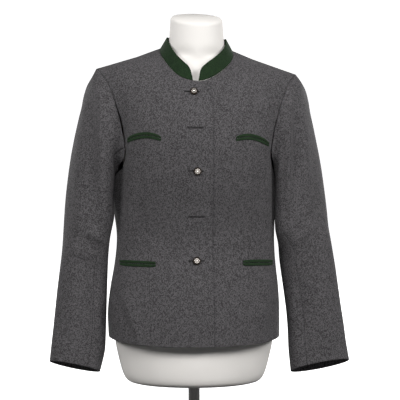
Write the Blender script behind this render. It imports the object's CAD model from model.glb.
# %% [markdown]
# # A stand-collar wool jacket on a dress form
#
# A jacket like this is cut from flat cloth: two fronts, two side panels, a back, four sleeve pieces and
# a collar. Each cell makes one kind of piece the way a maker would, from a few body sizes. The solids
# of the same jacket are loaded first, and every piece below covers its own solid.

# %% Load the solids
import functools
import math

import bmesh
import bpy
import numpy as np
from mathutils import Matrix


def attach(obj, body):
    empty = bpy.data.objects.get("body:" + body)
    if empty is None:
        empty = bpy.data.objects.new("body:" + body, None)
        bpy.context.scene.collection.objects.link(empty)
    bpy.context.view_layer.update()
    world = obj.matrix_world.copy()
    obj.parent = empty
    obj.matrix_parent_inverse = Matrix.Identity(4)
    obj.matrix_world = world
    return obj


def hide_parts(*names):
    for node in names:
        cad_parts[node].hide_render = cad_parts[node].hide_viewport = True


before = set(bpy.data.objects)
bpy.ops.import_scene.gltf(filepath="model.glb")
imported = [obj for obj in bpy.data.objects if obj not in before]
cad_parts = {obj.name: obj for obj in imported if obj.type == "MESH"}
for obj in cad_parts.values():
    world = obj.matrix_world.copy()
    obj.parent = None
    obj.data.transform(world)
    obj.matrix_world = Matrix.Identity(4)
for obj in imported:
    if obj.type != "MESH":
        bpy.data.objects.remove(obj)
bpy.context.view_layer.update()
scene = bpy.context.scene

# %% [markdown]
# ## Sizes of the cut
#
# A cutter notes a jacket as widths and depths at a few heights. Here each row is one tape measure round
# the body at a height above the floor. A smooth curve is enough between the rows, since wool bridges
# small dips. A scanned surface would need thousands of points and could not be altered by hand.

# %% Cutter's tables
MM = 0.001
CLOTH = 0.002  # thickness of the body cloth and the sleeves
FELT = 0.0022  # thickness of the collar felt
GAP = 0.0004  # air left at a seam
LIP_HEIGHT = 0.0052
LIP_THICK = 0.0014
SLIT = 0.0012  # between the two lips of a pocket
BUTTON_RADIUS = 0.0078
BUTTON_HEIGHT = 0.005
SQUARE = 2.3  # exponent of the body rings, 2 would be an ellipse
CHEST_Z = 0.578
SCOOP = 0.042  # how far the armhole dips under the arm
HEM_SIDE_Z = 0.214
HEM_FRONT_Z = 0.2045
LAP_TOP = 0.025
LAP_HEM = 0.033
FRONT_SEAM = math.radians(66.0)  # ring angles of the seams
POCKET_SEAM = math.radians(74.0)
BACK_SEAM = math.radians(116.0)
NECK_HALF = 0.0735
NECK_FRONT_Y = 0.092
NECK_BACK_Y = 0.062
NECK_SIDE_Z = 0.782
SHOULDER_X = 0.1995
SHOULDER_Y = 0.004
SHOULDER_Z = 0.7415
NECK_SHARE = NECK_HALF / SHOULDER_X
NECK_STEPS = 7
RIDGE_SLOPE = 22.0  # how the shoulder climbs from front to back at the neck, degrees
COLLAR_HALF = 0.059
COLLAR_FRONT_Y = 0.08
COLLAR_BACK_Y = 0.057
COLLAR_FRONT_Z = 0.74
COLLAR_SIDE_Z = 0.808
COLLAR_BACK_Z = 0.815
LEAN = 0.005  # sideways shift of the upper body
ROLL = 0.0265  # and how much lower its +X side hangs
FLARE_RIGHT = 0.016  # how far the cloth stands out behind the arms, -X side
FLARE_LEFT = 0.004
LOW_FLARE = 0.004  # and below the waist, -X side
PULL = 0.0062  # how far the neck opening is pulled to -X
LAPS = {-1: (0.02, 2.0), 1: (0.0225, 3.0)}  # how far and how squarely a sleeve laps over the body
FORM_BOTTOM_Z = 0.12

# tables are in millimetres: height, half width, depth to the front, depth to the back
BODY_RINGS = np.array((
    (200, 171.2, 128, 122),
    (275, 169.5, 124, 123),
    (320, 165, 118, 115),
    (360, 159, 111, 102),
    (405, 155.5, 106, 91),
    (460, 156, 113, 90),
    (520, 156.5, 126, 98),
    (560, 156.5, 131, 104),
    (578, 156, 132, 106),
)) * MM
FORM_RINGS = np.array((
    (120, 119, 86, 86),
    (122.5, 129, 92.5, 92.5),
    (129, 137, 97.5, 97.5),
    (142, 143.5, 100.5, 101),
    (165, 150, 103, 105),
    (205, 158, 105, 110),
    (275, 160, 106, 112),
    (330, 154, 102, 102),
    (405, 144, 92, 81),
    (470, 146, 101, 80),
    (530, 148, 118, 90),
    (578, 148, 124, 97),
    (620, 149, 119, 100),
    (660, 154, 108, 97),
    (695, 164, 89, 88),
    (720, 173, 75, 77),
    (734, 177, 63, 65),
    (743, 173, 54, 58),
    (750.6, 153.5, 50, 55),
    (757.6, 133.5, 48.2, 53.5),
    (763.5, 113.5, 47.4, 53),
    (767.5, 93, 47.4, 52.5),
    (771, 76, 47.8, 52),
    (777, 65, 48.6, 51.5),
    (786, 60, 49.6, 51),
    (796, 56, 49.8, 50.5),
    (815, 54, 49.8, 50.2),
    (838, 52.4, 49.5, 50),
    (845, 51.8, 49, 49.5),
    (848, 49, 46.5, 47),
)) * MM
# outer edge x and z, inner edge x and z, depth position, half depth, tilt
SLEEVE_RIGHT = (
    (-206.1, 722.4, -165.5, 527, 4, 70, 0),
    (-219.1, 676.6, -165, 515, 2, 68, 0),
    (-230.3, 630.9, -166, 499, 1, 65, 0),
    (-242.2, 571.2, -166, 477.4, 0, 61, 0),
    (-252.4, 493.6, -164, 449.5, -2, 56, 0),
    (-259.4, 422.1, -169, 413.8, -6, 50, 50),
    (-266.4, 360.7, -172.2, 356.3, -12, 43, 100),
    (-273.3, 305.7, -174, 301.2, -20, 38, 150),
    (-280.2, 239, -176.5, 218.4, -30, 33, 200),
    (-284.6, 199.6, -179, 184.9, -36, 31, 250),
    (-287.9, 168.3, -188.4, 147.5, -40, 30, 300),
)
SLEEVE_LEFT = (
    (219.2, 713.2, 170.5, 527, 4, 70, 0),
    (231.2, 663.1, 171, 515, 2, 68, 0),
    (243.4, 605.8, 170, 499, 1, 65, 0),
    (254.4, 546.8, 169, 476.6, 0, 61, 0),
    (266.2, 462.3, 168, 424.4, -2, 55, 0),
    (274.1, 409, 170, 378.4, -6, 49, 50),
    (283.8, 347.8, 174.9, 332.6, -12, 42, 100),
    (293, 278.5, 182.9, 269.1, -20, 36, 180),
    (299.3, 232.9, 185.9, 225.6, -26, 33, 260),
    (302.7, 203.2, 187.1, 190, -30, 31, 320),
    (308.9, 165.5, 191.2, 144.4, -34, 30, 380),
)
# wearer's side, name, inner x, outer x, inner z, middle z, outer z
POCKETS = (
    (-1, "chest_pocket_right", 74.8, 138.5, 606.5, 612.5, 602),
    (1, "chest_pocket_left", 70, 137.5, 609, 613, 599),
    (-1, "hip_pocket_right", 83.8, 149, 364, 364.5, 364),
    (1, "hip_pocket_left", 86, 149, 366, 365.5, 363),
)
BUTTONS = (
    ("button_top", -4.5, 698.5),
    ("button_middle", 0, 546),
    ("button_low", 0.5, 371.4),
)
hem = BODY_RINGS[0]
print("hem girth", round(math.pi / 2 * (2 * hem[1] + hem[2] + hem[3]) / MM), "mm, about")

# %% [markdown]
# ## The body as one worn surface
#
# Below the arms the cloth hangs in rings round the figure. Above them it runs up to the shoulder ridge
# and is cut away for the neck and the arms. Each pattern piece is a patch of this one surface, so
# neighbours meet at their seams without a step, as sewn cloth does.

# %% Surface of the body
def smooth(low, high, value):
    """Rise softly from 0 at low to 1 at high."""
    t = np.clip((value - low) / (high - low), 0.0, 1.0)
    return t * t * (3.0 - 2.0 * t)


def unit(vectors):
    """Vectors of length 1 in the same directions."""
    return vectors / np.linalg.norm(vectors, axis=-1, keepdims=True)


def hermite(p1, p2, m1, m2, t):
    """Cubic curve from p1 to p2 with the end tangents m1 and m2."""
    t2 = t * t
    t3 = t2 * t
    a = 2.0 * t3 - 3.0 * t2 + 1.0
    return a * p1 + (t3 - 2.0 * t2 + t) * m1 + (3.0 * t2 - 2.0 * t3) * p2 + (t3 - t2) * m2


def table_row(rows, key):
    """Read a table at a height, smoothly between its rows."""
    keys = rows[:, 0]
    i = min(max(int(np.searchsorted(keys, key)) - 1, 0), len(rows) - 2)
    t = min(1.0, max(0.0, (key - keys[i]) / (keys[i + 1] - keys[i])))
    step = keys[i + 1] - keys[i]
    m1, m2 = ((rows[b] - rows[a]) / (keys[b] - keys[a]) * step
              for a, b in ((max(i - 1, 0), i + 1), (i, min(i + 2, len(rows) - 1))))
    return hermite(rows[i], rows[i + 1], m1, m2, t)


def ring_point(rows, z, angle, square):
    """Point of a ring, angle 0 at the centre front and 180 degrees at the back."""
    row = table_row(rows, z)
    s = min(1.0, abs(math.sin(angle)))
    depth = (1.0 - s ** square) ** (1.0 / square)
    y = -row[2] * depth if math.cos(angle) > 0.0 else row[3] * depth
    return np.array((row[1] * math.sin(angle), y, z))


def stand_off(point):
    """Lean and roll of the worn jacket."""
    x, y, z = point
    x = x + LEAN * smooth(0.2, 0.42, z)
    z = z - ROLL * x * smooth(0.42, 0.7, z)
    return np.array((x, y, z))


def front_seam_angle(z):
    """Ring angle of the side-front seam at a height."""
    return POCKET_SEAM + (FRONT_SEAM - POCKET_SEAM) * smooth(0.37, 0.46, z)


def hem_height(angle):
    """The hem dips a little at the centre front."""
    drop = HEM_SIDE_Z - HEM_FRONT_Z
    return HEM_SIDE_Z - drop * max(0.0, math.cos(angle)) ** 1.3


print("hem height at the centre front", round(hem_height(0.0), 4))

# %% [markdown]
# ## Yoke and neckline
#
# Above the chest each column of cloth is one curve from the chest ring to the shoulder ridge. The
# neckline is found on that surface from the neck's shape seen from above, so the collar fits it.

# %% Yoke and neckline
def ridge_point(u):
    """Shoulder ridge from the centre, u = 0, over the neck corner to the armhole, 1."""
    x = SHOULDER_X * u
    if x < NECK_HALF:
        slope = (SHOULDER_Z - NECK_SIDE_Z) / (SHOULDER_X - NECK_HALF)
        rise = -0.5 * slope * NECK_HALF * (1.0 - (x / NECK_HALF) ** 2)
        return np.array((x, SHOULDER_Y * u, NECK_SIDE_Z + rise))
    t = (x - NECK_HALF) / (SHOULDER_X - NECK_HALF)
    return np.array((x, SHOULDER_Y * u, NECK_SIDE_Z + (SHOULDER_Z - NECK_SIDE_Z) * t))


# end tangents of the yoke's outermost column, front and back
EDGE_TANGENTS = {
    -1: np.array(((0.02, -0.04, 0.16), (0.09, 0.15, 0.06))),
    1: np.array(((0.025, 0.045, 0.17), (0.08, -0.15, 0.06))),
}


@functools.lru_cache(maxsize=None)
def yoke_curve(facing, u):
    """Ends and end tangents of one yoke column."""
    if facing < 0:
        angle = u * front_seam_angle(CHEST_Z)
    else:
        angle = math.pi + (BACK_SEAM - math.pi) * u
    base = ring_point(BODY_RINGS, CHEST_Z, angle, SQUARE)
    below = ring_point(BODY_RINGS, CHEST_Z - 0.012, angle, SQUARE)
    top = ridge_point(u)
    length = np.linalg.norm(top - base)
    outward = smooth(0.3, 1.0, u)
    slope = math.radians(-facing * RIDGE_SLOPE * (1.0 - outward))
    start = (base - below) / 0.012 * length
    end = np.array((0.0, -facing * math.cos(slope), math.sin(slope)))
    end *= length * (1.2 - 0.15 * outward)
    edge = u ** 5
    start, end = np.array((start, end)) * (1.0 - edge) + edge * EDGE_TANGENTS[facing]
    return base, top, start, end


def yoke_point(facing, u, t):
    """Yoke surface from the chest ring, t = 0, to the ridge, 1: facing -1 is the front."""
    return hermite(*yoke_curve(facing, float(u)), t)


def find_place(surface, wanted, axes, start, limit):
    """Place on a surface where the chosen axes read the wanted values."""
    u, t = start
    step = 0.002
    for _ in range(30):
        p = surface(u, t)[axes]
        du = (surface(u + step, t)[axes] - p) / step
        dt = (surface(u, t + step)[axes] - p) / step
        move = np.linalg.solve(np.stack((du, dt), axis=1), wanted - p)
        u += float(np.clip(move[0], -limit, limit))
        t += float(np.clip(move[1], -limit, limit))
        if np.abs(move).max() < 1e-9:
            break
    return u, t


@functools.lru_cache(maxsize=None)
def neck_cut(facing, alpha):
    """Place on the yoke where the neckline passes, alpha = 0 at the centre."""
    if alpha > math.pi / 2 - 0.0001:
        return NECK_SHARE, 1.0
    depth = NECK_FRONT_Y if facing < 0 else NECK_BACK_Y
    wanted = np.array((NECK_HALF * math.sin(alpha), facing * depth * math.cos(alpha)))
    start = NECK_SHARE * math.sin(alpha), 0.6 + 0.4 * (alpha / (math.pi / 2)) ** 2
    return find_place(functools.partial(yoke_point, facing), wanted, [0, 1], start, 0.05)


def neck_point(alpha):
    """Neckline seam, alpha 0 at the front and 180 degrees at the back."""
    if alpha <= math.pi / 2:
        return yoke_point(-1, *neck_cut(-1, alpha))
    return yoke_point(1, *neck_cut(1, math.pi - alpha))


def yoke_panel(facing, u, t):
    """A panel's yoke: its first columns end on the neckline, the rest on the ridge."""
    if u >= NECK_SHARE:
        return yoke_point(facing, u, t)
    column, top = neck_cut(facing, u / NECK_SHARE * math.pi / 2)
    return yoke_point(facing, u + (column - u) * t, top * t)


def lap_point(u, t):
    """Past the centre front: the same form as the other front, cut lower."""
    wanted = LAP_TOP * abs(u)
    column, top = neck_cut(-1, math.asin(wanted / NECK_HALF))
    height = t * top * (1.0 - 0.055 * abs(u) ** 1.5)
    for _ in range(8):
        column += (wanted - yoke_point(-1, column, height)[0]) / 0.18
    return yoke_point(-1, column, height) * np.array((-1.0, 1.0, 1.0))


print("neck corner", neck_point(math.pi / 2).round(4), "neck front", neck_point(0.0).round(4))

# %% [markdown]
# ## Pattern pieces
#
# A front runs from its edge past the centre round to the side seam, the back spans both side-back
# seams, and a narrow side panel joins them under the arm. Two numbers name any place on a piece:
# u across and v up.

# %% Panels of the body
def seam_height(v):
    """Height on the side-front seam, v = 0 at the hem and 1 at the chest ring."""
    hem = hem_height(POCKET_SEAM)
    return hem + (CHEST_Z - hem) * v


def front_point(u, v):
    """Front: u from the edge, -1, over the centre, 0, to the side seam, 1; v 0 hem, 1 chest, 2 top."""
    if v > 1.0:
        return lap_point(u, v - 1.0) if u < 0.0 else yoke_panel(-1, u, v - 1.0)
    if u >= 0.0:
        angle = u * front_seam_angle(seam_height(v))
        hem = hem_height(u * POCKET_SEAM)
        z = hem + (CHEST_Z - hem) * v
    else:
        z = HEM_FRONT_Z + (CHEST_Z - HEM_FRONT_Z) * v
        lap = LAP_HEM + (LAP_TOP - LAP_HEM) * smooth(0.2, 0.44, z)
        angle = math.asin(lap * u / table_row(BODY_RINGS, z)[1])
    return ring_point(BODY_RINGS, z, angle, SQUARE)


def back_point(u, v):
    """Back: u from -1 to 1 across, v as on the front."""
    side = -1.0 if u < 0.0 else 1.0
    if v > 1.0:
        point = yoke_panel(1, abs(u), v - 1.0)
    else:
        angle = math.pi + (BACK_SEAM - math.pi) * abs(u)
        hem = hem_height(angle)
        point = ring_point(BODY_RINGS, hem + (CHEST_Z - hem) * v, angle, SQUARE)
    return point * np.array((side, 1.0, 1.0))


def side_point(u, v):
    """Side panel: u from its front seam to its back seam, v from hem to armhole."""
    top = CHEST_Z - SCOOP * max(0.0, math.sin(math.pi * u)) ** 0.75
    first = front_seam_angle(seam_height(v))
    angle = first + (BACK_SEAM - first) * u
    hem = hem_height(POCKET_SEAM + (BACK_SEAM - POCKET_SEAM) * u)
    return ring_point(BODY_RINGS, hem + (top - hem) * v, angle, SQUARE)


def place(point, side):
    """Put a point of a half pattern on the wearer's side: -1 is -X, 1 is +X."""
    x, y, z = point
    flare = FLARE_RIGHT if side * x < 0.0 else FLARE_LEFT
    flare *= smooth(0.085, 0.145, abs(x)) * smooth(-0.05, 0.03, y)
    flare *= smooth(0.4, 0.5, z) * (1.0 - smooth(0.6, 0.68, z))
    if side * x < 0.0:
        low = smooth(0.2, 0.27, z) * (1.0 - smooth(0.4, 0.48, z))
        flare += LOW_FLARE * low * smooth(0.085, 0.145, abs(x))
    pull = smooth(0.69, 0.722, z) * smooth(0.03, 0.085, -y) * (1.0 - smooth(0.03, 0.08, abs(x)))
    x = side * x + math.copysign(flare, side * x) - PULL * pull
    return stand_off(np.array((x, y, z)))


def spaced(start, stop, count):
    """Even numbers from start to stop with count steps."""
    return [start + (stop - start) * k / count for k in range(count + 1)]


def sheet_grid(function, us, vs, side):
    """Grid of placed points, one row for each v."""
    return np.array([[place(function(u, v), side) for u in us] for v in vs])


def grid_normals(grid, centre):
    """Normals of a grid, turned away from a centre."""
    normal = unit(np.cross(np.gradient(grid, axis=1), np.gradient(grid, axis=0)))
    return -normal if np.sum(normal * (grid - centre)) < 0.0 else normal


def match_edges(first, i, second, j):
    """Give two panels the same normals along their seam."""
    rows = min(len(first), len(second))
    first[:rows, i] = second[:rows, j] = unit(first[:rows, i] + second[:rows, j])


LOW_ROWS = spaced(0.0, 1.0, 15)
FRONT_ROWS = LOW_ROWS + spaced(1.0, 2.0, 12)[1:]
BACK_ROWS = LOW_ROWS + spaced(1.0, 2.0, 10)[1:]
HALF = spaced(0.0, NECK_SHARE, NECK_STEPS) + spaced(NECK_SHARE, 1.0, 7)[1:]
FRONT_COLUMNS = [-1.0, -0.5] + HALF
BACK_COLUMNS = [-u for u in reversed(HALF)] + HALF[1:]
panels = {"back": sheet_grid(back_point, BACK_COLUMNS, BACK_ROWS, 1)}
for side, ending in ((-1, "right"), (1, "left")):
    panels["front_" + ending] = sheet_grid(front_point, FRONT_COLUMNS, FRONT_ROWS, side)
    panels["side_" + ending] = sheet_grid(side_point, spaced(0.0, 1.0, 6), LOW_ROWS, side)
BODY_CENTRE = np.array((LEAN, 0.0, 0.45))
normals = {name: grid_normals(grid, BODY_CENTRE) for name, grid in panels.items()}
for ending in ("right", "left"):
    match_edges(normals["front_" + ending], -1, normals["side_" + ending], 0)
match_edges(normals["back"], 0, normals["side_right"], -1)
match_edges(normals["back"], -1, normals["side_left"], -1)
for name in ("back", "front_right", "front_left"):
    on_ridge = np.abs(BACK_COLUMNS if name == "back" else FRONT_COLUMNS) >= NECK_SHARE
    normals[name][-1, on_ridge, 1] = 0.0
    normals[name][-1] = unit(normals[name][-1])
tuck = 1.0 - smooth(0.04, 0.075, panels["front_left"][:, :, 0])
panels["front_left"] -= normals["front_left"] * tuck[:, :, None] * (CLOTH + GAP + 0.0005)
for name, grid in panels.items():
    print(name, grid.shape[:2])

# %% [markdown]
# ## Sleeves
#
# A sleeve is a tube that starts on the armhole and narrows to the cuff. A two-piece sleeve has a wide
# top piece outside and a narrow under piece inside, which lets it bend forward at the elbow.

# %% Sleeve tubes
def resample(points, count):
    """Points spaced evenly along a polyline, count steps."""
    points = np.array(points)
    lengths = np.linalg.norm(np.diff(points, axis=0), axis=1)
    at = np.concatenate(((0.0,), np.cumsum(lengths)))
    wanted = np.linspace(0.0, at[-1], count + 1)
    return np.stack([np.interp(wanted, at, points[:, k]) for k in range(3)], axis=1)


def armhole_loop(side, count):
    """Armhole from the shoulder down the front and up the back."""
    half = [yoke_point(-1, 1.0, t) for t in spaced(1.0, 0.0, 20)]
    half += [side_point(u, 1.0) for u in spaced(0.0, 0.5, 10)[1:]]
    rest = [side_point(u, 1.0) for u in spaced(0.5, 1.0, 10)]
    rest += [yoke_point(1, 1.0, t) for t in spaced(0.0, 1.0, 20)[1:]]
    loop = np.concatenate((resample(half, count // 2), resample(rest, count // 2)[1:-1]))
    loop = np.array([place(p, side) for p in loop])
    loop[:, 0] += side * 0.35 * GAP
    return loop


def sleeve_rings(rows, side, count):
    """Rings of a sleeve, the armhole first; angle 0 is outside, 90 degrees in front."""
    a = math.tau * np.arange(count) / count
    c, s = np.cos(a), np.sin(a)
    lap, square = LAPS[side]
    rings = [armhole_loop(side, count)]
    for ox, oz, ix, iz, depth, half, tilt in np.array(rows) * MM:
        near = smooth(0.37, 0.44, iz)
        power = np.where(c < 0.0, 2.0 / (2.0 + (square - 2.0) * near), 1.0)
        out = 0.5 + 0.5 * np.sign(c) * np.abs(c) ** power
        fore = np.sign(s) * np.abs(s) ** power
        x = ix + (ox - ix) * out - side * lap * near * fore
        z = iz + (oz - iz) * out + tilt * half * fore
        rings.append(np.stack((x, depth - half * fore, z), axis=1))
    return np.array(rings)


def cubic(table, at):
    """Read rows of a table at fractional places along smooth curves."""
    padded = np.concatenate((2 * table[:1] - table[1:2], table, 2 * table[-1:] - table[-2:-1]))
    i = np.clip(at.astype(int), 0, len(table) - 2)
    t = (at - i).reshape((-1,) + (1,) * (table.ndim - 1))
    p0, p1, p2, p3 = (padded[i + k] for k in range(4))
    return hermite(p1, p2, (p2 - p0) / 2, (p3 - p1) / 2, t)


AROUND = 24
UNDER_FIRST = 8
UNDER_LAST = 17
tubes = {}
for side, rows, ending in ((-1, SLEEVE_RIGHT, "right"), (1, SLEEVE_LEFT, "left")):
    tube = cubic(sleeve_rings(rows, side, AROUND), np.arange(2 * len(rows) + 1) / 2)
    wrapped = np.concatenate((tube[:, -1:], tube, tube[:, :1]), axis=1)
    normal = grid_normals(wrapped, tube.mean(axis=1)[:, None])[:, 1:-1]
    turn = np.abs(2.0 * np.arange(AROUND) / AROUND - 1.0)
    seam = unit(np.stack((side * 0.3 * turn, normal[0, :, 1], smooth(0.45, 1.0, turn)), axis=1))
    share = smooth(0.15, 0.45, turn)[:, None]
    normal[0] = unit(normal[0] * (1.0 - share) + seam * share)
    tubes[ending] = (tube, normal)
    print("sleeve", ending, tube.shape[:2])

# %% [markdown]
# ## From pattern to cloth
#
# The pattern grids are coarse, so each is drawn finer along smooth curves, given its folds and the
# cloth's thickness, and rounded over at every cut edge. Folds are ridges and troughs laid by hand
# along short lines, where the body, the arm and the iron make them.

# %% Fine places and folds
def fine_places(lengths, size, edges, fold=0.0016):
    """Places along a row: even steps, closer where a cut edge rounds over."""
    at = np.concatenate(((0.0,), np.cumsum(lengths)))
    even = np.linspace(0.0, at[-1], max(4, int(round(at[-1] / size))) + 1)
    bend = [fold * s for s in (0.12, 0.35, 0.65, 1.0)]
    near = bend * edges[0] + [at[-1] - s for s in bend] * edges[1]
    keep = [s for s in even if all(abs(s - n) > 0.4 * fold for n in near)]
    keep = sorted({0.0, at[-1], *keep, *near})
    return np.interp(keep, at, np.arange(len(at))), np.array(keep)


def rolled(distance, fold=0.0016):
    """How far a cut edge has rolled in, from the distance to it."""
    near = np.clip(1.0 - distance / fold, 0.0, 1.0)
    return 0.0009 * (1.0 - np.sqrt(1.0 - near ** 2 * 0.98))


def fold_height(points, normal, folds):
    """Sum of the folds that run past each point."""
    total = np.zeros(points.shape[:2])
    p = points[:, :, (0, 2)]
    for *sizes, facing in folds:
        x0, z0, x1, z1, width, height = np.array(sizes) * MM
        a = np.array((x0, z0))
        line = np.array((x1, z1)) - a
        length = np.linalg.norm(line)
        along = np.clip(((p - a) @ line) / length ** 2, 0.0, 1.0)
        off = np.linalg.norm(p - a - along[:, :, None] * line, axis=2)
        shape = np.exp(-(off / width) ** 2) * np.sin(math.pi * (0.08 + 0.84 * along)) ** 0.8
        side = smooth(0.05, 0.45, facing * normal[:, :, 1])
        total += height * shape * side
    return total


print("a cut edge rolls in by", round(float(rolled(0.0)) / MM, 2), "mm")

# %% [markdown]
# ## A shell with two faces
#
# A cuff or hem shows the cloth's inside too, so each piece gets an outer face, an inner face and an
# edge between them. A single sheet would look like paper there.

# %% Shell of cloth
def add_mesh(name, points, faces, uvs=None):
    """Make a smooth-shaded object from points and quads."""
    mesh = bpy.data.meshes.new(name)
    mesh.from_pydata(points.tolist(), [], faces)
    mesh.polygons.foreach_set("use_smooth", [True] * len(mesh.polygons))
    if uvs is not None:
        layer = mesh.uv_layers.new(name="cloth")
        corners = np.zeros(len(mesh.loops), int)
        mesh.loops.foreach_get("vertex_index", corners)
        layer.data.foreach_set("uv", np.asarray(uvs)[corners].ravel())
    mesh.update()
    thing = bpy.data.objects.new(name, mesh)
    scene.collection.objects.link(thing)
    return thing


def grid_faces(rows, columns, offset=0, flip=False):
    """Quads of a grid of points."""
    i, j = np.meshgrid(np.arange(rows - 1), np.arange(columns - 1), indexing="ij")
    a = (i * columns + j).ravel() + offset
    quads = np.stack((a, a + 1, a + columns + 1, a + columns), axis=1)
    return (quads[:, ::-1] if flip else quads).tolist()


def tube_faces(rings, around, first=0):
    """Quads of a closed tube of rings."""
    quads = []
    for r in range(rings - 1):
        for k in range(around):
            a = first + r * around + k
            b = first + r * around + (k + 1) % around
            quads.append([a, b, b + around, a + around])
    return quads


def grid_uvs(u, v):
    """Pattern places of a grid, row by row."""
    return np.stack(np.meshgrid(u, v), axis=2).reshape(-1, 2)


def cloth_shell(name, grid, normal, thick, size, folds, cut, extra=None):
    """Two faces of cloth and its rolled edges, over a coarse pattern grid."""
    across = np.linalg.norm(np.diff(grid, axis=1), axis=2).mean(axis=0)
    along = np.linalg.norm(np.diff(grid, axis=0), axis=2).mean(axis=1)
    cols, u = fine_places(across, size, ("l" in cut, "r" in cut))
    rows, v = fine_places(along, size, ("b" in cut, "t" in cut))
    fine = cubic(cubic(grid, rows).swapaxes(0, 1), cols).swapaxes(0, 1)
    way = unit(cubic(cubic(normal, rows).swapaxes(0, 1), cols).swapaxes(0, 1))
    rise = fold_height(fine, way, folds)
    if extra is not None:
        rise = rise + extra(fine, way, u, v)
    nearest = np.full(fine.shape[:2], 1.0)
    for letter, distance in (("l", u[None, :]), ("r", u[-1] - u[None, :]),
                             ("b", v[:, None]), ("t", v[-1] - v[:, None])):
        if letter in cut:
            nearest = np.minimum(nearest, distance)
    roll = rolled(nearest)
    outer = fine + way * (rise - roll)[:, :, None]
    inner = fine + way * (rise - thick + roll)[:, :, None]
    count_r, count_c = fine.shape[:2]
    total = count_r * count_c
    faces = grid_faces(count_r, count_c) + grid_faces(count_r, count_c, total, flip=True)
    ids = np.arange(total).reshape(count_r, count_c)
    border = np.concatenate((ids[0], ids[1:, -1], ids[-1, -2::-1], ids[-2:0:-1, 0]))
    ahead = np.roll(border, -1)
    faces += np.stack((border, total + border, total + ahead, ahead), axis=1).tolist()
    uv = grid_uvs(u, v)
    points = np.concatenate((outer.reshape(-1, 3), inner.reshape(-1, 3)))
    thing = add_mesh(name, points, faces, np.concatenate((uv, uv)))
    if np.cross(outer[0, 1] - outer[0, 0], outer[1, 0] - outer[0, 0]) @ way[0, 0] < 0.0:
        thing.data.flip_normals()
    area = np.linalg.norm(np.cross(outer[1:, :-1] - outer[:-1, :-1],
                                   outer[:-1, 1:] - outer[:-1, :-1]), axis=2).sum()
    return thing, (float(u[-1]), float(v[-1])), float(area)


print("helpers for the cloth are ready")

# %% [markdown]
# ## Materials
#
# Melange wool is spun from dark and pale fibres, so it reads as grey from afar and as flecks close up.
# Each material is built from noise and waves at the size of its fibres, so it stays sharp at any
# distance. The weave follows each piece's own grain.

# %% Shader helpers
def feed(tree, node, sockets):
    """Feed inputs with numbers, colours or the outputs of other nodes."""
    for key, value in sockets.items():
        if isinstance(value, bpy.types.NodeSocket):
            tree.links.new(value, node.inputs[key])
        else:
            node.inputs[key].default_value = value
    return node


def add_node(tree, kind, sockets=None, **settings):
    """Add a shader node with its settings and inputs."""
    made = tree.nodes.new("ShaderNode" + kind)
    for key, value in settings.items():
        setattr(made, key, value)
    return feed(tree, made, sockets or {})


def new_material(name):
    """Empty material with its shader and the place its patterns are read at."""
    material = bpy.data.materials.new(name)
    material.use_nodes = True
    tree = material.node_tree
    where = add_node(tree, "TexCoord").outputs["Object"]
    return material, tree, tree.nodes["Principled BSDF"], where


def calc(tree, operation, a, b=0.0, c=0.0):
    """Result of one arithmetic step."""
    return add_node(tree, "Math", {0: a, 1: b, 2: c}, operation=operation).outputs[0]


def noise(tree, where, scale, detail=2.0, roughness=0.5):
    """Noise from 0 to 1 with features of about 1 / scale metres."""
    return add_node(tree, "TexNoise", {
        "Vector": where, "Scale": scale, "Detail": detail, "Roughness": roughness,
    }).outputs["Fac"]


def ramp(tree, value, low, high, out_low=0.0, out_high=1.0):
    """Map a value from one span to another, held at the ends."""
    return add_node(tree, "MapRange", {
        "Value": value, "From Min": low, "From Max": high, "To Min": out_low, "To Max": out_high,
    }, interpolation_type="SMOOTHSTEP").outputs[0]


def blend(tree, factor, a, b):
    """Mix two colours."""
    a, b = ((*c, 1.0) if isinstance(c, (tuple, list)) else c for c in (a, b))
    made = add_node(tree, "Mix", {0: factor}, data_type="RGBA")
    return feed(tree, made, {6: a, 7: b}).outputs[2]


def bump(tree, strength, distance, height):
    """Normal of a surface pressed in and out by a height."""
    return add_node(tree, "Bump", {
        "Strength": strength, "Distance": distance, "Height": height,
    }).outputs[0]


print("shader helpers are ready")

# %% [markdown]
# ## Cloth, cover and metal
#
# Wool, felt and thread share one recipe. The form's cover is a fine knit, the silver is dark in its
# hollows and bright where it is rubbed, and the steel is a little cloudy.

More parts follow.
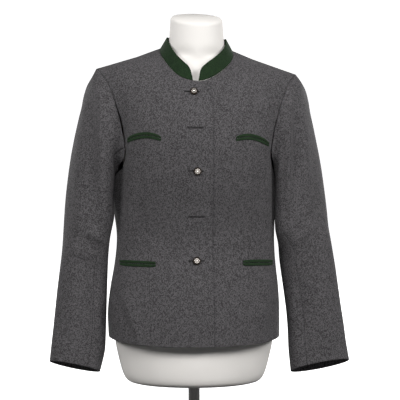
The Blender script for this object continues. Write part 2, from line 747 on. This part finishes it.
# %% Cloth, cover and metal
def woven(name, dark, light, thread, nap, fleck, sheen):
    """Wool or felt: threads, flecks of two colours and a soft nap."""
    material, tree, shader, where = new_material(name)
    grain = add_node(tree, "UVMap", uv_map="cloth").outputs[0]
    split = add_node(tree, "SeparateXYZ", {0: grain})
    turns = math.tau / thread
    warp, weft = (calc(tree, "SINE", calc(tree, "MULTIPLY", split.outputs[k], turns)) for k in (0, 1))
    fine = noise(tree, where, 900.0, 3.0, 0.7)
    blur = noise(tree, where, 300.0, 2.0, 0.6)
    wide = noise(tree, where, 26.0)
    stretched = add_node(tree, "Mapping", {"Vector": where, "Scale": (1.0, 1.0, 0.72)})
    cells = add_node(tree, "TexVoronoi", {"Vector": stretched.outputs[0], "Scale": 800.0})
    fibre = add_node(tree, "SeparateColor", {0: cells.outputs["Color"]}).outputs[0]
    mixed = calc(tree, "MULTIPLY", fine, 0.25)
    for part, share in ((fibre, 0.5), (blur, 0.15), (wide, 0.1)):
        mixed = calc(tree, "MULTIPLY_ADD", part, share, mixed)
    colour = blend(tree, ramp(tree, mixed, 0.5 - fleck, 0.5 + fleck), dark, light)
    seam = add_node(tree, "Attribute", attribute_name="seam").outputs["Fac"]
    groove = ramp(tree, calc(tree, "ABSOLUTE", seam), 0.0, 0.0011, 1.0, 0.0)
    height = calc(tree, "MULTIPLY", calc(tree, "MULTIPLY", warp, weft), 0.25)
    height = calc(tree, "MULTIPLY_ADD", fine, nap, height)
    height = calc(tree, "MULTIPLY_ADD", groove, -1.5, height)
    feed(tree, shader, {
        "Base Color": blend(tree, calc(tree, "MULTIPLY", groove, 0.3), colour, [c * 0.35 for c in dark]),
        "Normal": bump(tree, 0.7, 0.0005, height),
        "Roughness": ramp(tree, blur, 0.3, 0.7, 0.84, 0.97),
        "Specular IOR Level": 0.18,
        "Sheen Weight": sheen,
        "Sheen Roughness": 0.55,
        "Sheen Tint": (*[min(1.0, 0.55 + c) for c in light], 1.0),
    })
    return material


wool = woven("grey_wool", (0.022, 0.0205, 0.0215), (0.104, 0.099, 0.1035), 0.0014, 1.0, 0.27, 0.04)
felt = woven("green_felt", (0.003, 0.011, 0.003), (0.01, 0.027, 0.008), 0.003, 1.6, 0.3, 0.02)
thread = woven("grey_thread", (0.01, 0.01, 0.01), (0.034, 0.032, 0.033), 0.0006, 0.4, 0.2, 0.0)

cover, tree, shader, where = new_material("form_cover")
knit = noise(tree, where, 700.0)
stain = ramp(tree, noise(tree, where, 9.0, 3.0), 0.3, 0.7)
feed(tree, shader, {
    "Base Color": blend(tree, stain, (0.775, 0.748, 0.715), (0.83, 0.803, 0.768)),
    "Normal": bump(tree, 0.35, 0.0004, knit),
    "Roughness": ramp(tree, knit, 0.3, 0.7, 0.7, 0.85),
})

silver, tree, shader, where = new_material("old_silver")
hollow = add_node(tree, "AmbientOcclusion", {"Distance": 0.0012}, samples=8).outputs["AO"]
rubbed = add_node(tree, "Attribute", attribute_name="rubbed").outputs["Fac"]
bright = calc(tree, "MULTIPLY_ADD", hollow, 0.5, rubbed)
bright = calc(tree, "MULTIPLY_ADD", noise(tree, where, 900.0, 3.0), 0.35, bright)
feed(tree, shader, {
    "Base Color": blend(tree, ramp(tree, bright, 0.72, 1.45), (0.022, 0.016, 0.012), (0.66, 0.62, 0.58)),
    "Metallic": 0.95,
    "Roughness": ramp(tree, noise(tree, where, 1500.0), 0.3, 0.7, 0.2, 0.42),
})

steel, tree, shader, where = new_material("dark_steel")
cloudy = noise(tree, where, 30.0, 3.0)
feed(tree, shader, {
    "Base Color": blend(tree, ramp(tree, cloudy, 0.3, 0.7), (0.016, 0.014, 0.013), (0.032, 0.029, 0.026)),
    "Normal": bump(tree, 0.2, 0.0002, noise(tree, where, 1200.0, 3.0)),
    "Metallic": 0.3,
    "Roughness": ramp(tree, cloudy, 0.3, 0.7, 0.38, 0.55),
})
print("materials", [m.name for m in (wool, felt, thread, cover, silver, steel)])

# %% [markdown]
# ## Fronts, sides and back
#
# The fronts carry a dart seam below each chest pocket, which takes in the waist. It shows as a fine
# groove, so it is drawn by its distance from the seam line, and the shader presses it in.

# %% Body cloth
# x and z of both ends, half width, height, and 1 for the back or -1 for the front
BODY_FOLDS = (
    (-149, 700, -148, 460, 10.5, -6, -1),
    (-122, 660, -128, 480, 11, 1.6, -1),
    (159, 660, 161, 440, 10, -4.5, -1),
    (-156, 300, -126, 214, 7.5, -3.5, -1),
    (-142, 300, -110, 214, 11, 3.8, -1),
    (-120, 560, -112, 430, 14, -1.6, -1),
    (128, 560, 120, 420, 14, -1.6, -1),
    (140, 330, 128, 216, 12, 3, -1),
    (-60, 440, 0, 425, 13, 1.4, -1),
    (130, 420, 60, 400, 10, 1.9, -1),
    (-130, 415, -70, 395, 10, 1.9, -1),
    (-120, 430, 0, 400, 12, 3.5, 1),
    (120, 440, 10, 412, 12, 3, 1),
    (-90, 380, 20, 370, 13, 3, 1),
    (-150, 640, -120, 500, 14, 4, 1),
    (150, 630, 125, 500, 14, 3.5, 1),
    (-100, 300, -110, 215, 15, 3, 1),
    (95, 310, 112, 215, 15, 2.8, 1),
)
DART_RIGHT = ((200, -89), (360, -93), (460, -99), (600, -104))
DART_LEFT = ((200, 96), (360, 101), (460, 108), (602, 112))


def paint(thing, material):
    """Give a piece one material and the solids' slot of that name."""
    thing.data.materials.clear()
    thing.data.materials.append(material)


def dress(thing, node, material):
    """Let a piece take the place of its solid and ride with the jacket."""
    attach(thing, "root")
    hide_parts(node)
    paint(thing, material)


def mark_seam(thing, line=None):
    """Store each point's distance from a seam line that runs up the piece."""
    points = np.zeros(len(thing.data.vertices) * 3)
    thing.data.vertices.foreach_get("co", points)
    points = points.reshape(-1, 3)
    distance = np.full(len(points), 1.0)
    if line is not None:
        z, x = (np.array(line) * MM).T
        inside = (points[:, 2] > z[0]) & (points[:, 2] < z[-1])
        distance[inside] = points[inside, 0] - np.interp(points[inside, 2], z, x)
    layer = thing.data.attributes.new("seam", "FLOAT", "POINT")
    layer.data.foreach_set("value", distance)


def dress_sheet(shell, node, material, line=None):
    """Dress a panel of cloth and state its cut before it was sewn."""
    thing, size, area = shell
    dress(thing, node, material)
    mark_seam(thing, line)
    print(node, "flat size", [round(s, 3) for s in size], "area", round(area, 4))


for name, line, cut in (("front_right", DART_RIGHT, "lb"), ("front_left", DART_LEFT, "lb"),
                        ("side_right", None, "b"), ("side_left", None, "b"), ("back", None, "b")):
    shell = cloth_shell(name + "_cloth", panels[name], normals[name], CLOTH, 0.0032, BODY_FOLDS, cut)
    dress_sheet(shell, name, wool, line)

# %% [markdown]
# ## Sleeves in cloth
#
# Long soft folds run down each sleeve from the shoulder, and shorter ones break across the elbow.
# Where a sleeve meets the body both follow the body's folds, or the seam would gape.

# %% Sleeve cloth
SLEEVE_FOLDS = (
    (-186, 690, -180, 430, 11, 6.5, -1),
    (-204, 690, -200, 480, 10, -3.6, -1),
    (-226, 600, -232, 400, 12, 4.3, -1),
    (-215, 430, -178, 404, 10, 5.8, -1),
    (-250, 395, -200, 372, 10, 3.8, -1),
    (-205, 370, -196, 180, 12, -3.5, -1),
    (-236, 350, -240, 170, 14, 4.3, -1),
    (184, 680, 182, 480, 6.5, 6.5, -1),
    (199, 690, 198, 480, 9, -4.3, -1),
    (216, 650, 224, 430, 12, 5.8, -1),
    (203, 420, 196, 330, 11, 4.3, -1),
    (240, 440, 200, 405, 10, 4.3, -1),
    (204, 350, 212, 190, 13, -5.2, -1),
    (246, 360, 262, 190, 16, 5.2, -1),
    (-225, 640, -240, 420, 13, 6.5, 1),
    (-190, 600, -205, 430, 12, 5.8, 1),
    (-250, 430, -190, 400, 11, 6.1, 1),
    (-245, 360, -190, 345, 11, 4.9, 1),
    (232, 640, 250, 420, 13, 6.5, 1),
    (195, 600, 215, 430, 12, 5.8, 1),
    (262, 430, 200, 405, 11, 6.1, 1),
    (255, 360, 205, 340, 11, 4.9, 1),
)


def sleeve_piece(tube, normal, indices):
    """Columns of a sleeve tube, the seam columns eased apart."""
    grid = tube[:, indices].copy()
    for edge, inner in ((0, 1), (-1, -2)):
        step = grid[:, inner] - grid[:, edge]
        grid[:, edge] += unit(step) * 0.3 * GAP
    return grid, normal[:, indices]


def ease_ends(fine, way, u, v):
    """Swap the sleeve's folds for the body's next to the armhole."""
    change = fold_height(fine, way, BODY_FOLDS) - fold_height(fine, way, SLEEVE_FOLDS)
    return change * (1.0 - smooth(0.004, 0.05, v))[:, None]


for ending in ("right", "left"):
    tube, normal = tubes[ending]
    under = list(range(UNDER_FIRST, UNDER_LAST + 1))
    top = list(range(UNDER_LAST, AROUND)) + list(range(0, UNDER_FIRST + 1))
    for name, indices in (("under_sleeve_" + ending, under), ("top_sleeve_" + ending, top)):
        grid, way = sleeve_piece(tube, normal, indices)
        shell = cloth_shell(name + "_cloth", grid, way, CLOTH, 0.0034, SLEEVE_FOLDS, "t", ease_ends)
        dress_sheet(shell, name, wool)

# %% [markdown]
# ## Stand collar
#
# The collar is one strip of felt sewn to the neckline. It is narrower at its upper edge, so it stands
# up and leans in to the neck, and its ends slope away at the centre front.

# %% Collar
def collar_grid(rows):
    """Grid of the collar, from end to end."""
    start = math.radians(4.2)
    turns = [start] + spaced(0.0, math.pi, 2 * NECK_STEPS)[1:]
    path = [(a, 1) for a in turns] + [(a, -1) for a in reversed(turns[:-1])]
    grid = []
    for t in spaced(0.0, 1.0, rows):
        row = []
        for alpha, side in path:
            low = neck_point(alpha)
            end = 1.0 - smooth(start, start + 0.2, alpha)
            high_alpha = alpha + 0.1 * end
            turn = high_alpha / (math.pi / 2)
            z = COLLAR_FRONT_Z + (COLLAR_SIDE_Z - COLLAR_FRONT_Z) * min(turn, 1.0)
            z += (COLLAR_BACK_Z - COLLAR_SIDE_Z) * smooth(1.0, 2.0, turn)
            depth = COLLAR_FRONT_Y if turn <= 1.0 else COLLAR_BACK_Y
            high = np.array((COLLAR_HALF * math.sin(high_alpha), -depth * math.cos(high_alpha), z))
            high = high + (low - high) * 0.28 * end
            row.append(place(low + unit(high - low) * GAP * (0.4 + 1.6 * end) + (high - low) * t, side))
        grid.append(row)
    return np.array(grid)


grid = collar_grid(3)
way = grid_normals(grid, BODY_CENTRE)
shell = cloth_shell("collar_felt", grid, way, FELT, 0.0024, (), "lrt")
dress_sheet(shell, "collar", felt)

# %% [markdown]
# ## Pocket lips
#
# A welt pocket is a slit bound by two narrow folded lips. Each lip is a strip laid on the front along
# the slit, rounded like a folded edge.

# %% Pocket lips
def laid_on_front(x, z, side):
    """Point of a front's outer face, folds included, and its normal, at a half width and height."""
    v = (z - HEM_FRONT_Z) / (CHEST_Z - HEM_FRONT_Z)
    if z > CHEST_Z:
        v = 1.0 + 0.7 * (z - CHEST_Z) / 0.15
    u, v = find_place(front_point, np.array((x, z)), [0, 2], (x / 0.16, v), 0.2)
    step = 0.002
    p = front_point(u, v)
    normal = unit(np.cross(front_point(u + step, v) - p, front_point(u, v + step) - p))
    normal *= np.array((side, 1.0, 1.0)) * (-1.0 if normal[1] > 0.0 else 1.0)
    point = place(p, side)
    rise = fold_height(point[None, None], normal[None, None], BODY_FOLDS)[0, 0]
    return point + normal * rise, normal


def add_solid(name, points, faces, uvs=None):
    """Make a closed object with every face turned outward."""
    thing = add_mesh(name, points, faces, uvs)
    work = bmesh.new()
    work.from_mesh(thing.data)
    bmesh.ops.recalc_face_normals(work, faces=work.faces)
    work.to_mesh(thing.data)
    work.free()
    return thing


def lip(name, side, x0, x1, z0, zm, z1, sign):
    """One folded lip: a strip with a half-round section along the slit."""
    section = [(0.0, 0.0), (0.0, 0.75), (0.16, 1.0), (0.5, 1.06), (0.84, 1.0), (1.0, 0.7), (1.0, 0.0)]
    rows = []
    for t in spaced(0.0, 1.0, 36):
        x = x0 + (x1 - x0) * t
        centre = (1 - t) * (1 - 2 * t) * z0 + 4 * t * (1 - t) * zm + t * (2 * t - 1) * z1
        taper = 1.0 - 0.35 * (2.0 * t - 1.0) ** 6
        end = 1.0 - 0.5 * abs(2.0 * t - 1.0) ** 24
        row = []
        for across, high in section:
            z = centre + sign * (SLIT / 2 + across * LIP_HEIGHT * taper)
            point, normal = laid_on_front(x, z, side)
            row.append(point + normal * (GAP + LIP_THICK * high * end))
        rows.append(row)
    rows = np.array(rows)
    count = len(section)
    last = (len(rows) - 1) * count
    faces = tube_faces(len(rows), count) + [list(range(count)), list(range(last + count - 1, last - 1, -1))]
    uv = grid_uvs(np.arange(count) * 0.001, np.arange(len(rows)) * 0.0018)
    return add_solid(name, rows.reshape(-1, 3), faces, uv)


for side, name, *sizes in POCKETS:
    for half, sign in (("upper", 1.0), ("lower", -1.0)):
        node = name + "_" + half + "_lip"
        thing = lip(node + "_felt", side, *np.array(sizes) * MM, sign)
        dress(thing, node, felt)
        mark_seam(thing)
print("pocket lips", 2 * len(POCKETS))

# %% [markdown]
# ## Buttonholes
#
# A worked buttonhole is a ring of close stitches round a slit. It is drawn as one rope-like ring:
# the thread's turns are small swells along it, all that shows at arm's length.

# %% Buttonholes
# both ends across the front, height
BUTTONHOLES = (
    (-23, 6, 698.5),
    (-20, 11, 629),
    (-18, 12, 546),
    (-17, 15, 457),
    (-16, 15, 371.4),
)


def front_patch(x0, x1, z0, z1):
    """Reader of points and normals on a patch of the right front."""
    xs = np.linspace(x0, x1, 7)
    spots = np.array([[laid_on_front(LEAN - x, z, -1) for z in (z0, z1)] for x in xs])

    def read(x, z):
        i = int(np.clip(np.searchsorted(xs, x) - 1, 0, 5))
        s = (x - xs[i]) / (xs[i + 1] - xs[i])
        t = (z - z0) / (z1 - z0)
        low, high = (1.0 - s) * spots[i] + s * spots[i + 1]
        return (1.0 - t) * low + t * high

    return read


STITCH_RING = 0.0009  # from the slit's middle to the stitches
STITCH_HALF = 0.001
STITCH_HIGH = 0.00045
STITCH_STEP = 0.0007


def buttonhole(name, x0, x1, z):
    """Stadium-shaped ring of stitches on the right front."""
    patch = front_patch(x0 - 0.003, x1 + 0.003, z - 0.003, z + 0.003)
    half = (x1 - x0) / 2 - 0.0014
    straight = 2.0 * half
    lap = straight + math.pi * STITCH_RING
    turns = int(2.0 * lap / STITCH_STEP)
    count = turns * 3
    rows = []
    for k in range(count):
        way = 1.0 if 2 * k < count else -1.0
        s = 2.0 * lap * k / count % lap
        a = max(0.0, s - straight) / STITCH_RING
        out = way * math.sin(a), way * math.cos(a)
        x = (x0 + x1) / 2 + way * (min(s, straight) - half)
        swell = 1.0 + 0.28 * math.cos(math.tau * turns * k / count)
        row = []
        for across, high in ((-1.0, 0.0), (-0.7, 0.75), (0.0, 1.0), (0.7, 0.75), (1.0, 0.0)):
            reach = STITCH_RING + across * STITCH_HALF
            point, normal = patch(x + out[0] * reach, z + out[1] * reach)
            row.append(point + normal * (STITCH_HIGH * high * swell))
        rows.append(row)
    rows.append(rows[0])
    rows = np.array(rows)
    uv = grid_uvs(np.arange(5) * 0.0005, np.arange(len(rows)) * 0.00025)
    return add_mesh(name, rows.reshape(-1, 3), grid_faces(len(rows), 5), uv)


for k, sizes in enumerate(BUTTONHOLES):
    thing = buttonhole("buttonhole_%d" % (k + 1), *np.array(sizes) * MM)
    thing.data.materials.append(thread)
    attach(thing, "root")
    mark_seam(thing)
print("buttonholes", len(BUTTONHOLES))

# %% [markdown]
# ## Buttons
#
# The buttons are cast domes with a corded rim and a ring of petals, darkened in the hollows and
# rubbed bright on the high parts. The relief is one height formula over rings and spokes, and each
# point also keeps a number that says how rubbed it is.

# %% Buttons
def bell(r, at, width):
    """Soft ring round the button at a share of its radius."""
    return math.exp(-((r - at) / width) ** 2)


def button_height(r, a):
    """Height of the cast relief at a share r of the radius and an angle a."""
    dome = 0.0026
    if r < 0.86:
        dome = BUTTON_HEIGHT * (0.52 + 0.4 * math.sqrt(1.0 - (r / 0.86) ** 2))
    cord = 0.0006 * bell(r, 0.92, 0.05) * (1.0 + 0.35 * math.cos(30 * a))
    petal = 0.0007 * bell(r, 0.55, 0.19) * abs(math.cos(4 * a)) ** 0.6
    boss = 0.0006 * bell(r, 0.0, 0.16)
    groove = 0.0005 * bell(r, 0.27, 0.05) + 0.0006 * bell(r, 0.82, 0.04)
    return dome + cord + petal + boss - groove - 0.0026 * smooth(0.94, 1.0, r) * 0.6


def button_rub(r, a):
    """How bright a place is rubbed: the boss and the petals most."""
    return 0.75 * bell(r, 0.0, 0.3) + 0.45 * abs(math.cos(4 * a)) * bell(r, 0.55, 0.16)


def button(name, x, z, spokes=120):
    """One button on the right front."""
    point, normal = laid_on_front(max(0.0, -x + LEAN), z, -1)
    seat = point + normal * (GAP + 0.0003)
    across = unit(np.cross(normal, np.array((0.0, 0.0, 1.0))))
    along = np.cross(normal, across)
    turns = [math.tau * k / spokes for k in range(spokes)]
    arms = [(across * math.cos(a) + along * math.sin(a)) * BUTTON_RADIUS for a in turns]
    shares = spaced(0.03, 1.0, 34)
    points = [seat + normal * button_height(0.0, 0.0)]
    points += [seat + arm * r + normal * button_height(r, a) for r in shares for a, arm in zip(turns, arms)]
    points += [seat + arm * 0.82 for arm in arms]
    rings = len(shares) + 1
    last = 1 + len(shares) * spokes
    faces = [[0, 1 + k, 1 + (k + 1) % spokes] for k in range(spokes)]
    faces += tube_faces(rings, spokes, 1) + [list(range(last, last + spokes))]
    thing = add_solid(name + "_cast", np.array(points), faces)
    rubbed = [0.75] + [button_rub(r, a) for r in shares + [1.0] for a in turns]
    layer = thing.data.attributes.new("rubbed", "FLOAT", "POINT")
    layer.data.foreach_set("value", rubbed)
    return thing


for name, x, z in BUTTONS:
    dress(button(name, x * MM, z * MM), name, silver)
print("buttons", len(BUTTONS))

# %% [markdown]
# ## Form and stand
#
# The form is a smooth padded shape under a stretched cover, cut off below the hips and at the neck.
# It carries the jacket, and a pole and a round base carry it.

# %% Form and stand
def form_mesh(around=96, tall=0.0075):
    """Closed body of the form from its rings."""
    levels = [FORM_BOTTOM_Z]
    for low, high in zip(FORM_RINGS[:-1, 0], FORM_RINGS[1:, 0]):
        levels += spaced(low, high, max(2, int(round((high - low) / tall))))[1:]
    points = []
    for z in levels:
        square = 2.0 + 0.25 * (smooth(0.15, 0.25, z) - smooth(0.6, 0.7, z))
        square -= 0.55 * (smooth(0.7, 0.75, z) - smooth(0.77, 0.8, z))
        for k in range(around):
            angle = math.tau * k / around
            p = ring_point(FORM_RINGS, z, min(angle, math.tau - angle), square)
            p[0] = p[0] if angle <= math.pi else -p[0]
            p[2] += 0.26 * p[1] * smooth(0.806, 0.842, z)
            points.append(stand_off(p))
    points.append(np.array((0.0, 0.0, FORM_BOTTOM_Z)))
    points.append(stand_off(np.array((0.0, 0.0, FORM_RINGS[-1, 0] + 0.0012))))
    faces = tube_faces(len(levels), around)
    foot = len(levels) * around
    for k in range(around):
        n = (k + 1) % around
        faces += [[foot, n, k], [foot + 1, foot - around + k, foot - around + n]]
    return add_solid("form_cover", np.array(points), faces)


dress(form_mesh(), "dress_form", cover)
for name in ("stand_base", "stand_pole"):
    paint(bpy.data.objects[name], steel)
print("form and stand are dressed")

# %% [markdown]
# ## Studio
#
# A pale round floor curves up into a wall all round, so every side has the same plain ground. The
# paper glows a little, which keeps it white, but less so near the stand, where its shadow falls. Three
# soft lights stand high in front, so that a shadow lies under the hem, and two weaker ones behind.
# The camera is long and level with the chest, as in a catalogue picture.

# %% Studio, light and camera
FLOOR_RADIUS = 8.0
WALL_BEND = 1.5
WALL_TOP = 6.0
FLOOR_Z = -0.0005  # just below the stand's foot
NEAR_GLOW = 0.6


def studio():
    """Round floor with a wall all round."""
    profile = [(0.01, 0.0)]
    for a in spaced(0.0, math.pi / 2, 12):
        profile.append((FLOOR_RADIUS + WALL_BEND * math.sin(a), WALL_BEND * (1.0 - math.cos(a))))
    profile.append((FLOOR_RADIUS + WALL_BEND, WALL_TOP))
    turns = spaced(0.0, math.tau, 73)
    points = [(r * math.cos(a), r * math.sin(a), z + FLOOR_Z) for r, z in profile for a in turns]
    sweep = add_mesh("studio_sweep", np.array(points), grid_faces(len(profile), len(turns)))
    material, tree, shader, where = new_material("studio_paper")
    far = add_node(tree, "VectorMath", {0: where}, operation="LENGTH").outputs["Value"]
    feed(tree, shader, {
        "Base Color": blend(tree, noise(tree, where, 40.0), (0.9, 0.9, 0.9), (0.93, 0.93, 0.93)),
        "Roughness": 0.95,
        "Emission Color": (1.0, 1.0, 1.0, 1.0),
        "Emission Strength": ramp(tree, far, 0.25, 0.6, NEAR_GLOW, 1.0),
    })
    sweep.data.materials.append(material)
    sweep.visible_diffuse = False


def area_light(name, where, height, size, power):
    """Soft square light pointed at a height on the jacket."""
    light = bpy.data.lights.new(name, "AREA")
    light.size = size
    light.energy = power
    thing = bpy.data.objects.new(name, light)
    thing.location = x, y, z = where
    thing.rotation_euler = (math.atan2(math.hypot(x, y), z - height), 0.0, math.atan2(x, -y))
    scene.collection.objects.link(thing)


studio()
area_light("light_right", (2.6, -2.2, 2.3), 0.4, 1.3, 92.0)
area_light("light_left", (-2.6, -2.2, 2.3), 0.4, 1.3, 78.0)
area_light("light_front", (0.15, -3.4, 2.9), 0.4, 1.3, 84.0)
area_light("light_back_right", (1.9, 3.2, 1.1), 0.45, 1.4, 56.0)
area_light("light_back_left", (-1.9, 3.2, 1.1), 0.45, 1.4, 50.0)
world = bpy.data.worlds.new("studio_air")
world.use_nodes = True
air = world.node_tree.nodes["Background"]
feed(world.node_tree, air, {"Color": (1.0, 1.0, 1.0, 1.0), "Strength": 0.025})
scene.world = world

CAMERA_TURN = math.radians(-3.0)
CAMERA_FAR = 3.2
CAMERA_HIGH = 0.615
CAMERA_DOWN = math.atan(65.0 / 1600.0)
CAMERA_ASIDE = math.atan(6.0 / 1600.0)
camera = bpy.data.cameras.new("camera")
camera.lens = 144.0
eye = bpy.data.objects.new("camera", camera)
eye.location = (math.sin(CAMERA_TURN) * CAMERA_FAR, -math.cos(CAMERA_TURN) * CAMERA_FAR, CAMERA_HIGH)
eye.rotation_euler = (math.pi / 2 - CAMERA_DOWN, 0.0, CAMERA_TURN - CAMERA_ASIDE)
scene.collection.objects.link(eye)
scene.camera = eye
scene.view_settings.view_transform = "Standard"
print("camera at", [round(c, 3) for c in eye.location])
